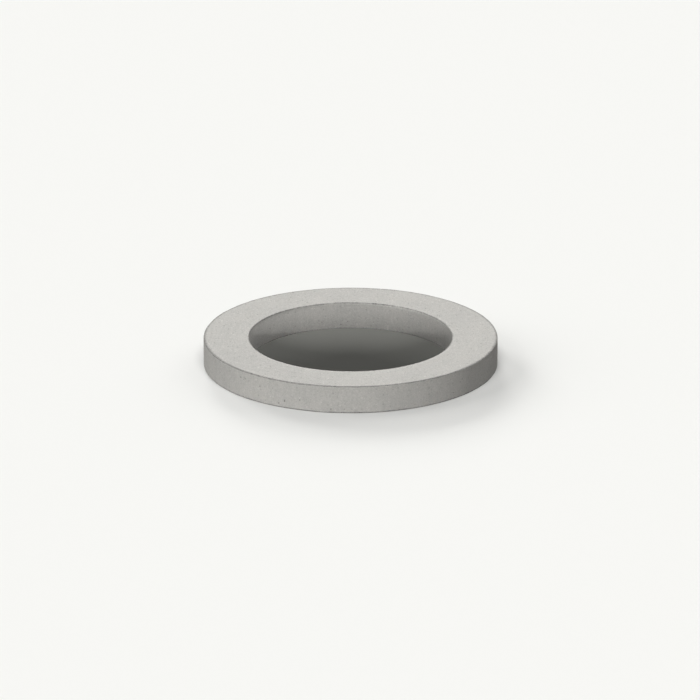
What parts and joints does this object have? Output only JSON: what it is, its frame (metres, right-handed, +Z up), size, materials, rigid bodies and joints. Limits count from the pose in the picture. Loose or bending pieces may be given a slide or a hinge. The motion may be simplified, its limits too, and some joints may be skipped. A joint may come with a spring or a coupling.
{
  "type": "concrete manhole support ring",
  "caption": "Flat cast concrete ring with a rectangular wall and a wide round bore; it is bedded on a manhole neck and carries the cover frame.",
  "frame": {"origin": "centre of the bore on the bed face that the ring lies on", "axes": "+Z up the bore axis, from the bed face to the face that carries the cover frame; +X and +Y are free, as the ring is round"},
  "size_m": [0.84, 0.84, 0.08],
  "materials": {
    "concrete": "matte"
  },
  "bodies": {
    "root": {"concrete_ring": "concrete"}
  },
  "joints": []
}
